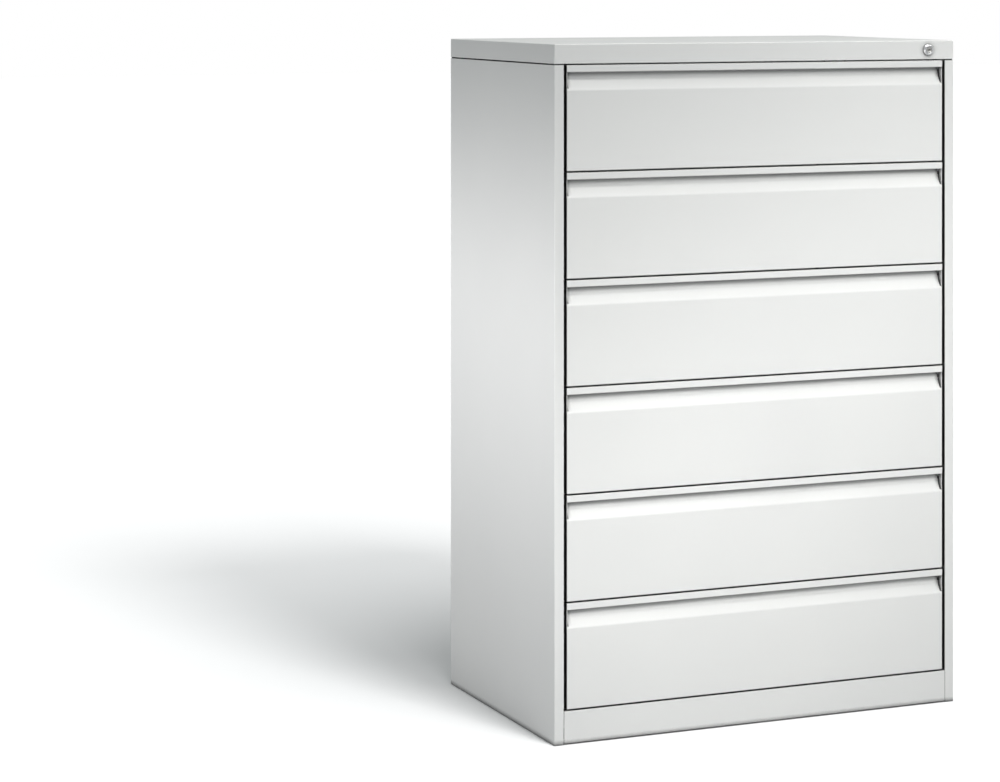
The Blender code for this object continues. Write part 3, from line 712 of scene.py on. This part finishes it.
def hexagon(across, z0, z1, bore=0.0, chamfer=0.0007):
    """Hexagonal nut with chamfered corners, along +Z."""
    ob = temp(bar((0, 0, (z0 + z1) / 2), (0, 0, 1), across / math.sqrt(3), z1 - z0, 6))
    cone = temp(lathe([(0.0, z0 - 0.001), (across / 2 * 0.96, z0 - 0.001), (across / 2 * 0.96 + 0.0002, z0),
                       (across / math.sqrt(3) + 0.0004, z0 + chamfer * 1.6),
                       (across / math.sqrt(3) + 0.0004, z1 - chamfer * 1.6),
                       (across / 2 * 0.96 + 0.0002, z1), (across / 2 * 0.96, z1 + 0.001), (0.0, z1 + 0.001)], 48))
    cut(ob, cone, "INTERSECT")
    extra = [cone]
    if bore:
        h = temp(lathe([(0.0, z0 - 0.01), (bore, z0 - 0.01), (bore, z1 + 0.01), (0.0, z1 + 0.01)], 48))
        cut(ob, h)
        extra.append(h)
    return settle(ob, extra)


pad = [(0.0, 0.0190), (0.0056, 0.0190), (0.0066, 0.0186), (0.0070, 0.0178), (0.0070, 0.0125), (0.0076, 0.0112),
       (0.0100, 0.0092), (0.0140, 0.0074), (0.0178, 0.0061), (0.0187, 0.0053), (0.0190, 0.0044),
       (0.0190, 0.0012), (0.0186, 0.0004), (0.0178, 0.0), (0.0130, 0.0), (0.0125, 0.0006), (0.0, 0.0006)]
pad_bm = lathe(list(reversed(pad)), 64)
pad_ob = temp(pad_bm)
ribs = bmesh.new()
for k in range(12):
    a = 2 * math.pi * (k + 0.5) / 12
    bmesh.ops.create_cone(ribs, cap_ends=True, segments=12, radius1=0.0016, radius2=0.0016, depth=0.03,
                          matrix=Matrix.Translation((0.0200 * math.cos(a), 0.0200 * math.sin(a), 0.003)))
rib_ob = temp(ribs)
cut(pad_ob, rib_ob)
pad_mesh = settle(pad_ob, (rib_ob,))
stud_mesh = threaded_rod(0.0040, 0.00055, 0.00125, 0.0195, 0.0700)
collar = hexagon(0.0110, 0.0192, 0.0232)
nut_mesh = hexagon(0.0130, -0.0065, 0.0, bore=0.0042)
for label in FEET:
    at = feet[label]
    body = "foot_" + label
    piece("foot_pad_" + label, pad_mesh, body, M_PLASTIC, ["levelling_foot_" + label], move=at)
    piece("foot_stud_" + label, merged([(stud_mesh, Matrix.Identity(4)), (collar, Matrix.Identity(4))]), body,
          M_ZINC, move=at)
piece("foot_weld_nuts", merged([(nut_mesh, Matrix.Translation((feet[f].x, feet[f].y, tray_hi.z - 0.0012)))
                                for f in FEET]), "root", M_ZINC)


# ----------------------------------------------------------------------------
# Drawers
# ----------------------------------------------------------------------------
front_lo, front_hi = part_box("drawer_front_1")
FH = front_hi.x
T1, B1 = front_hi.z, front_lo.z
STEP = T1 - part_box("drawer_front_2")[1].z
LIP, WALL, FOOT, RECESS, SLIT, RETURN = 0.0135, 0.0145, 0.0490, 0.0130, 0.0030, 0.0195

t, b = T1, B1
path = [(-FH, FRONT + RETURN, b), (-FH, FRONT, b), (-FH, FRONT, t - FOOT),
        (-FH, FRONT + RECESS, t - LIP - WALL), (-FH, FRONT + RECESS, t - LIP), (-FH, FRONT, t - LIP),
        (-FH, FRONT, t), (-FH, FRONT + RETURN, t), (-FH, FRONT + RETURN, t - 0.0100)]
bm = folded(path, (2 * FH, 0, 0))
for s in (-1, 1):
    edge = edges_where(bm, lambda c: near(c.x, s * FH) and near(c.y, FRONT) and c.z < t - FOOT + 1e-4)
    pull(bm, edge, (0, RETURN, 0))
bmesh.ops.remove_doubles(bm, verts=bm.verts, dist=1e-6)
face_out(bm, lambda c: near(c.y, FRONT) and c.z < t - FOOT, (0, -1, 0))
flanges, slits = [], []
for s in (-1, 1):
    xs = sorted((s * (FH - 0.0011), s * (FH - 0.0001)))
    flanges.append(temp(block((xs[0], FRONT + 0.0012, t - FOOT - 0.0040), (xs[1], FRONT + RECESS + 0.0006, t - 0.0004))))
    xs = sorted((s * (FH - 0.0012 - SLIT), s * (FH - 0.0012)))
    slits.append(temp(block((xs[0], FRONT + 0.0022, t - FOOT + 0.0025), (xs[1], FRONT + 0.0300, t - LIP + 0.0013))))
front_mesh = sheet(bm, GAUGE, [
    (lambda c: near(c.z, t - FOOT), 0.0020),                                  # soft crease under the recess
    (lambda c: near(c.z, t - LIP - WALL), 0.0036),                            # wide bend behind the grip
    (lambda c: near(c.z, t - LIP) and near(c.y, FRONT + RECESS), 0.0022),
    (lambda c: near(c.z, t - LIP), 0.0013),                                   # lower edge of the lip
    (always, 0.0017)], 6, cuts=tuple(slits), joins=tuple(flanges))

box_lo, box_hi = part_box("drawer_box_1")
BZ0 = B1 + 0.011
BZ1 = T1 - 0.020
BY0, BY1 = box_lo.y, box_hi.y
bm = block((-BOX_HALF, BY0, BZ0), (BOX_HALF, BY1, BZ1))
bm.normal_update()
bmesh.ops.delete(bm, geom=[f for f in bm.faces if f.normal.z > 0.5], context="FACES_ONLY")
for s in (-1, 1):
    rim = edges_where(bm, lambda c: near(c.x, s * BOX_HALF) and near(c.z, BZ1))
    rim = pull(bm, rim, (s * 0.0070, 0, 0))
    pull(bm, rim, (0, 0, -0.0060))
face_out(bm, lambda c: near(c.z, BZ0), (0, 0, -1))
joins, cuts = [], []
for k in range(4):
    a, c = bead(-0.34, 0.34, BY0 + 0.085 + k * 0.122,
                BZ0 + 0.001, 0.001, 0.022, 0.0032)
    joins.append(a)
    cuts.append(c)
box_mesh = sheet(bm, 0.001, [(lambda c: near(c.z, BZ1), 0.0016), (always, 0.0022)], 4,
                 cuts=tuple(cuts), joins=tuple(joins))


def section(s, path_u, y0, y1, thickness, bends, out_sign, zc, segments=4, cuts=()):
    """A slide section from (u, z) points; u is measured from the upright's face towards the drawer."""
    bm = folded([(s * (SLIDE_FACE - u), y0, zc + z) for u, z in path_u], (0, y1 - y0, 0))
    web = min(path_u, key=lambda p: out_sign * p[0])[0]
    face_out(bm, lambda c: near(c.x, s * (SLIDE_FACE - web)), (s * out_sign, 0, 0))
    return sheet(bm, thickness, [(always, bends)], segments, rim=0.00018, cuts=cuts)


SZ = (outer_lo.z + outer_hi.z) / 2          # slide centre height of drawer 1
OY0, OY1 = outer_lo.y, outer_hi.y
mid_lo, mid_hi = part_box("slide_mid_right_1")
HH = (outer_hi.z - outer_lo.z) / 2
MH = (mid_hi.z - mid_lo.z) / 2


def holes(points, radius, depth=0.02):
    bm = bmesh.new()
    for x, y, z in points:
        bar((x, y, z), (1, 0, 0), radius, depth, 20, bm=bm)
    return temp(bm)


yc_front = sum(v.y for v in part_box("upright_front_right")) / 2
yc_rear = sum(v.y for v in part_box("upright_rear_right")) / 2
slot_y = [OY0 + 0.012, OY0 + 0.10, OY0 + 0.165, OY0 + 0.23, OY0 + 0.295, OY0 + 0.36, OY0 + 0.425]
outer_mesh = section(1, [(0.0094, HH - 0.0034), (0.0094, HH), (0.0, HH), (0.0, -HH), (0.0094, -HH),
                         (0.0094, -HH + 0.0034)], OY0, OY1, 0.0012, 0.0024, 1, SZ,
                     cuts=(holes([(SLIDE_FACE, y, SZ) for y in slot_y], 0.0032),))
mid_mesh = section(1, [(0.0112, MH - 0.0032), (0.0112, MH), (0.0030, MH), (0.0030, -MH), (0.0112, -MH),
                       (0.0112, -MH + 0.0032)], mid_lo.y, mid_hi.y, 0.0012, 0.0022, 1, SZ,
                   cuts=(holes([(SLIDE_FACE, y, SZ) for y in (mid_lo.y + 0.02, mid_lo.y + 0.09, mid_lo.y + 0.25,
                                                               mid_hi.y - 0.09)], 0.0036),))
inner_mesh = section(1, [(0.0062, 0.0103), (0.0130, 0.0103), (0.0130, -0.0103), (0.0062, -0.0103)],
                     OY0, OY1, 0.0012, 0.0018, -1, SZ)

# ball cages: a thin channel round each race, with balls along both sides
ball_bm = bmesh.new()
bmesh.ops.create_uvsphere(ball_bm, u_segments=12, v_segments=8, radius=0.00235)
ball_mesh = bpy.data.meshes.new("ball")
ball_bm.to_mesh(ball_mesh)
ball_bm.free()


def cage(u_web, u_end, half, y0, y1, u_ball):
    bm = folded([(SLIDE_FACE - u_end, y0, SZ + half), (SLIDE_FACE - u_web, y0, SZ + half),
                 (SLIDE_FACE - u_web, y0, SZ - half), (SLIDE_FACE - u_end, y0, SZ - half)], (0, y1 - y0, 0))
    face_out(bm, lambda c: near(c.x, SLIDE_FACE - u_web), (1, 0, 0))
    me = sheet(bm, 0.0005, [(always, 0.0010)], 3, rim=0)
    count = int((y1 - y0 - 0.012) / 0.022) + 1
    ys = [y0 + 0.008 + k * (y1 - y0 - 0.016) / (count - 1) for k in range(count)]
    balls = [(ball_mesh, Matrix.Translation((SLIDE_FACE - u_ball, y, SZ + sz * (half - 0.00025))))
             for y in ys for sz in (-1, 1)]
    return me, merged(balls)


cage_a, balls_a = cage(0.0018, 0.0086, 0.01925, mid_hi.y - 0.190, mid_hi.y - 0.012, 0.0062)
cage_b, balls_b = cage(0.0048, 0.0110, 0.01305, mid_lo.y + 0.012, mid_lo.y + 0.170, 0.0085)
I4 = Matrix.Identity(4)
cage_mesh = merged([(cage_a, I4), (cage_b, I4)])
balls_mesh = merged([(balls_a, I4), (balls_b, I4)])

# stop at the rear end of each cabinet member, a small block in grey bumper plastic
stop_bm = block((SLIDE_FACE - 0.0090, OY1 - 0.0045, SZ - 0.0075), (SLIDE_FACE - 0.0012, OY1 - 0.0005, SZ + 0.0075))
stop_ob = temp(stop_bm)
rounded(stop_ob, 0.0012, 3)
stop_mesh = settle(stop_ob)

fix_x = (-0.36, -0.18, 0.0, 0.18, 0.36)
tab_lo = Vector((BOX_HALF, FRONT + 0.0290, SZ + 0.0310))
tab_hi = Vector((BOX_HALF + 0.0075, FRONT + 0.0310, SZ + 0.0470))
tab_bm = folded([(tab_lo.x, tab_lo.y + 0.0140, tab_lo.z), (tab_lo.x, tab_lo.y, tab_lo.z),
                 (tab_hi.x, tab_lo.y, tab_lo.z)], (0, 0, tab_hi.z - tab_lo.z))
face_out(tab_bm, lambda c: near(c.y, tab_lo.y), (0, -1, 0))
tab_mesh = sheet(tab_bm, 0.0020, [(always, 0.0010)], 3, rim=0.0003)

for n in range(1, N + 1):
    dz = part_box("drawer_front_%d" % n)[1].z - T1
    up = Vector((0, 0, dz))
    body = "drawer_%d" % n
    piece("drawer_front_%d_skin" % n, front_mesh, body, M_FRONT, ["drawer_front_%d" % n], move=up)
    piece("drawer_box_%d_shell" % n, box_mesh, body, M_BOX, ["drawer_box_%d" % n], move=up)
    screws = [(FIX, facing((0, 1, 0), (x, BY0 + 0.001, T1 - 0.0262))) for x in fix_x]
    screws += [(FIX, facing((0, 1, 0), (x, BY0 + 0.001, B1 + 0.045))) for x in (-0.36, 0.36)]
    piece("front_screws_%d" % n, merged(screws), body, M_ZINC, move=up)
    piece("catch_tab_%d" % n, tab_mesh, body, M_ZINC, move=up)
    for s, side in ((-1, "left"), (1, "right")):
        flip = s < 0
        piece("slide_cabinet_member_%s_%d" % (side, n), outer_mesh, "root", M_SLIDE,
              ["slide_outer_%s_%d" % (side, n)], move=up, flip=flip)
        piece("slide_middle_member_%s_%d" % (side, n), mid_mesh, "mid_%s_%d" % (side, n), M_SLIDE,
              ["slide_mid_%s_%d" % (side, n)], move=up, flip=flip)
        piece("slide_drawer_member_%s_%d" % (side, n), inner_mesh, body, M_SLIDE, move=up, flip=flip)
        piece("slide_ball_cages_%s_%d" % (side, n), cage_mesh, "mid_%s_%d" % (side, n), M_SLIDE,
              move=up, flip=flip)
        piece("slide_balls_%s_%d" % (side, n), balls_mesh, "mid_%s_%d" % (side, n), M_BALL,
              move=up, flip=flip, smooth=60)

for s, side in ((-1, "left"), (1, "right")):
    heads, stops = [], []
    for n in range(1, N + 1):
        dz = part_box("drawer_front_%d" % n)[1].z - T1
        for y in (yc_front, yc_rear):
            heads.append((SCREW, facing((-s, 0, 0), (s * (SLIDE_FACE - 0.0012), y, SZ + dz))))
        stops.append((stop_mesh, (Matrix.Diagonal((-1, 1, 1, 1)) if s < 0 else I4) @ Matrix.Translation((0, 0, dz))))
    piece("slide_screws_" + side, merged(heads), "root", M_ZINC)
    me = merged(stops)
    if s < 0:
        me.flip_normals()
    piece("slide_stops_" + side, me, "root", M_BUMPER)

# ----------------------------------------------------------------------------
# Central lock
# ----------------------------------------------------------------------------
P = FRONT - housing_lo.y                    # how far the rosette stands proud
rosette = [(0.0063, P - 0.0010), (0.0064, P - 0.0006), (0.0067, P - 0.0002), (0.0071, P), (0.0088, P), (0.0092, P - 0.0001),
           (0.0096, P - 0.0003), (0.0099, P - 0.0007), (0.0111, 0.0030), (0.01145, 0.0024), (0.0115, 0.0018),
           (0.0115, 0.0008), (0.0114, 0.0005), (0.0111, 0.0004), (0.0090, 0.0004)]
y = -0.0002
while y > -0.0150:                          # threads of the barrel
    rosette += [(0.0090, y), (0.0086, y - 0.0005)]
    y -= 0.0010
rosette += [(0.0086, -0.0158), (0.0082, -0.0160), (0.0063, -0.0160)]
piece("lock_rosette", settle(temp(lathe(rosette, 96, "-Y", LOCK))), "root", M_CHROME, ["lock_housing"])

face = P - 0.0005
core = [(0.0, face - 0.0004), (0.0030, face - 0.0004), (0.0036, face - 0.0003), (0.0040, face), (0.0054, face),
        (0.0058, face - 0.0001), (0.0060, face - 0.0004), (0.0060, -0.0168), (0.0058, -0.0170), (0.0031, -0.0170),
        (0.0030, -0.0172), (0.0030, -0.0216), (0.0028, -0.0220), (0.0, -0.0220)]
core_ob = temp(lathe(core, 80, "-Y", LOCK))
key = bmesh.new()
bmesh.ops.create_cube(key, size=1.0, matrix=Matrix.Translation(LOCK) @ Matrix.Diagonal((0.0076, 0.018, 0.0014, 1)))
key_a = temp(key)
rounded(key_a, 0.00035, 3)
key = bmesh.new()
bmesh.ops.create_cube(key, size=1.0, matrix=Matrix.Translation(LOCK + Vector((0.0006, 0, 0.0003)))
                      @ Matrix.Diagonal((0.0030, 0.018, 0.0020, 1)))
key_b = temp(key)
rounded(key_b, 0.0003, 3)
cut(core_ob, key_a)
cut(core_ob, key_b)
piece("lock_plug_core", settle(core_ob, (key_a, key_b)), "lock_turning", M_PLUG, ["lock_plug"])

# ring nut behind the skirt: six flats, both ends chamfered, bored for the barrel
nut_bm = bmesh.new()
loops = []
for r_flat, y in ((None, 0.0015), (0.0109, 0.0015), (0.0117, 0.0019), (0.0117, 0.0045), (0.0109, 0.0049), (None, 0.0049)):
    loop = []
    for i in range(72):
        a = 2 * math.pi * i / 72
        flat = (r_flat or 0) / math.cos((a + math.pi / 6) % (math.pi / 3) - math.pi / 6)
        r = 0.0092 if r_flat is None else min(flat, 0.0132 if r_flat > 0.0110 else 0.0118)
        loop.append(nut_bm.verts.new((LOCK.x + r * math.cos(a), LOCK.y + y, LOCK.z + r * math.sin(a))))
    loops.append(loop)
for one, two in zip(loops, loops[1:] + loops[:1]):
    for i in range(72):
        j = (i + 1) % 72
        nut_bm.faces.new((one[i], one[j], two[j], two[i]))
bmesh.ops.recalc_face_normals(nut_bm, faces=nut_bm.faces)
piece("lock_ring_nut", settle(temp(nut_bm)), "root", M_ZINC, ["lock_nut"])

for node in ("lock_cam", "lock_bar", "lock_bar_guide_upper", "lock_bar_guide_lower"):
    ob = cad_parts[node]
    mod(ob, "WELD", merge_threshold=0.00001)
    rounded(ob, 0.0003, 2, 30.0)
    ob.data.materials.clear()
    ob.data.materials.append(M_ZINC)
    mod(ob, "WEIGHTED_NORMAL", keep_sharp=True)


# ----------------------------------------------------------------------------
# Stage: pale floor, soft studio light, camera
# ----------------------------------------------------------------------------
floor_bm = bmesh.new()
bmesh.ops.create_grid(floor_bm, x_segments=8, y_segments=8, size=40.0)
floor = temp(floor_bm, "studio_floor")
floor.name = "studio_floor"
floor.location.z = -0.0005
t = Tree("studio_floor_paint")
tone = t.mix(t.span(t.noise(1.2, 3.0), 0.3, 0.7), (0.93, 0.93, 0.93), (0.95, 0.95, 0.95))
path_node = t.nt.nodes.new("ShaderNodeLightPath")
seen = t.mix(path_node.outputs["Is Camera Ray"], (0.50, 0.50, 0.50), tone)
t.done(seen, 0.9, 0.0, t.bump(t.noise(600.0, 2.0), 0.05, 0.0005), Specular_IOR_Level=0.0)
floor.data.materials.append(t.mat)

floor_only = bpy.data.collections.new("floor_light_group")
floor_only.objects.link(floor)
object_only = bpy.data.collections.new("object_light_group")
object_only.objects.link(floor)
object_only.collection_objects[0].light_linking.link_state = "EXCLUDE"

world = bpy.data.worlds.new("studio_world")
scene.world = world
world.use_nodes = True
wn = world.node_tree
background = wn.nodes["Background"]
ray = wn.nodes.new("ShaderNodeLightPath")
mixer = wn.nodes.new("ShaderNodeMix")
mixer.data_type = "RGBA"
socks = [s for s in mixer.inputs if s.type == "RGBA"]
socks[0].default_value = (0.286, 0.303, 0.304, 1.0)
socks[1].default_value = (1.0, 1.0, 1.0, 1.0)
wn.links.new(ray.outputs["Is Camera Ray"], mixer.inputs["Factor"])
wn.links.new([s for s in mixer.outputs if s.type == "RGBA"][0], background.inputs["Color"])
background.inputs["Strength"].default_value = 1.0


def lamp(name, kind, at, to, power, group, colour=(1, 1, 1), size=(1.0, 1.0), spread=180.0, cone=60.0, blend=1.0):
    data = bpy.data.lights.new(name, kind)
    data.energy = power
    data.color = colour
    if kind == "AREA":
        data.shape = "RECTANGLE"
        data.size, data.size_y = size
        data.spread = math.radians(spread)
    else:
        data.spot_size = math.radians(cone)
        data.spot_blend = blend
        data.shadow_soft_size = size[0]
    ob = bpy.data.objects.new(name, data)
    ob.location = at
    ob.rotation_euler = (Vector(to) - Vector(at)).to_track_quat("-Z", "Y").to_euler()
    scene.collection.objects.link(ob)
    ob.visible_camera = False
    ob.light_linking.receiver_collection = group
    return ob


# the floor's own light: two soft suns from the front, slightly from the right
for name, height, angle, energy in (("floor_key_low", 36.0, 15.0, 1.70), ("floor_key_high", 60.0, 38.0, 1.78)):
    data = bpy.data.lights.new(name, "SUN")
    data.energy = energy
    data.angle = math.radians(angle)
    ob = bpy.data.objects.new(name, data)
    scene.collection.objects.link(ob)
    level, drop = math.cos(math.radians(height)), math.sin(math.radians(height))
    ob.rotation_euler = Vector((-0.182 * level, 0.983 * level, -drop)).to_track_quat("-Z", "Y").to_euler()
    ob.light_linking.receiver_collection = floor_only

# light on the cabinet: pools from high in front, strips beside the left panel, soft fills on the other sides
WARM, COOL = (1.0, 0.988, 0.970), (1.0, 0.985, 0.985)
KEY = (0.5, -4.5, 3.8)
lamp("front_broad", "AREA", (-1.2, -4.6, 3.6), (0.0, -0.3, 0.7), 10.0, object_only, WARM, size=(2.0, 1.2))
lamp("front_pool", "SPOT", (0.8, -4.3, 3.6), (0.05, -0.3, 0.55), 520.0, object_only, WARM, size=(0.8, 0.8), cone=20.0)
lamp("front_low_left", "SPOT", KEY, (-0.46, -0.3, 0.36), 520.0, object_only, WARM, size=(0.4, 0.4), cone=11.0)
lamp("front_low_right", "SPOT", KEY, (0.32, -0.3, 0.25), 400.0, object_only, WARM, size=(0.6, 0.6), cone=13.0)
lamp("front_mid_right", "SPOT", KEY, (0.50, -0.3, 0.96), 204.0, object_only, WARM, size=(0.4, 0.4), cone=11.0)
lamp("front_level", "SPOT", (0.4, -4.8, 1.3), (-0.02, -0.3, 0.60), 125.0, object_only, WARM, size=(0.5, 0.5), cone=17.0)
lamp("front_steep", "AREA", (0.2, -2.5, 4.4), (0.0, -0.3, 0.9), 52.0, object_only, WARM, size=(1.6, 0.5))
lamp("front_top_right", "SPOT", (3.6, -3.4, 3.4), (0.60, -0.3, 1.10), 390.0, object_only, WARM, size=(0.6, 0.6), cone=14.0)
lamp("left_strip_high", "AREA", (-1.6, 0.0, 0.86), (-0.44, 0.0, 0.86), 3.2, object_only, COOL, size=(3.0, 0.2), spread=58.0)
lamp("left_strip_low", "AREA", (-1.6, 0.0, 0.40), (-0.44, 0.0, 0.38), 3.1, object_only, COOL, size=(3.0, 0.2), spread=80.0)
lamp("overhead", "AREA", (0, 0.2, 4.5), (0.0, 0.0, 1.3), 66.0, object_only, WARM, size=(2.5, 2.5))
lamp("back_fill", "AREA", (1.8, 4.2, 0.70), (0.0, 0.3, 0.68), 55.0, object_only, size=(1.2, 1.2))
lamp("right_fill", "AREA", (4.2, 2.4, 0.60), (0.44, 0.0, 0.70), 48.0, object_only, size=(1.6, 1.3))
for fill in ("back_fill", "right_fill"):
    bpy.data.objects[fill].visible_glossy = False

camera_data = bpy.data.cameras.new("photo_camera")
camera = bpy.data.objects.new("photo_camera", camera_data)
scene.collection.objects.link(camera)
scene.camera = camera
camera.location = (-2.667, -5.897, 1.486)
camera.rotation_euler = (math.radians(90), 0.0, -math.radians(25.33))
camera_data.sensor_width = 36.0
camera_data.sensor_fit = "HORIZONTAL"
camera_data.lens = 112.1
camera_data.clip_start, camera_data.clip_end = 0.05, 200.0
# The lens is shifted at the photograph's standpoint only, so that any other standpoint frames the cabinet centrally.
# A plain curve over the camera's x position holds the shift there and is zero from 3 mm away. Keys closer than 0.01
# would merge, so the curve runs over the sum of twenty readings of that position.
READINGS = 20
stand = camera.location.x
for prop, value in (("shift_x", -0.2536), ("shift_y", -0.4136)):
    curve = camera_data.driver_add(prop)
    for modifier in list(curve.modifiers):
        curve.modifiers.remove(modifier)
    curve.driver.type = "SUM"
    for n in range(READINGS):
        var = curve.driver.variables.new()
        var.name = "x%d" % n
        var.type = "TRANSFORMS"
        var.targets[0].id = camera
        var.targets[0].transform_type = "LOC_X"
        var.targets[0].transform_space = "WORLD_SPACE"
    for dx, y in ((-0.003, 0.0), (-0.002, value), (0.002, value), (0.003, 0.0)):
        curve.keyframe_points.insert(READINGS * (stand + dx), y).interpolation = "LINEAR"
    curve.extrapolation = "CONSTANT"

scene.view_settings.view_transform = "Standard"
scene.view_settings.look = "None"
scene.view_settings.exposure = 0.0
scene.view_settings.gamma = 1.0
scene.cycles.use_denoising = True

bpy.context.view_layer.update()
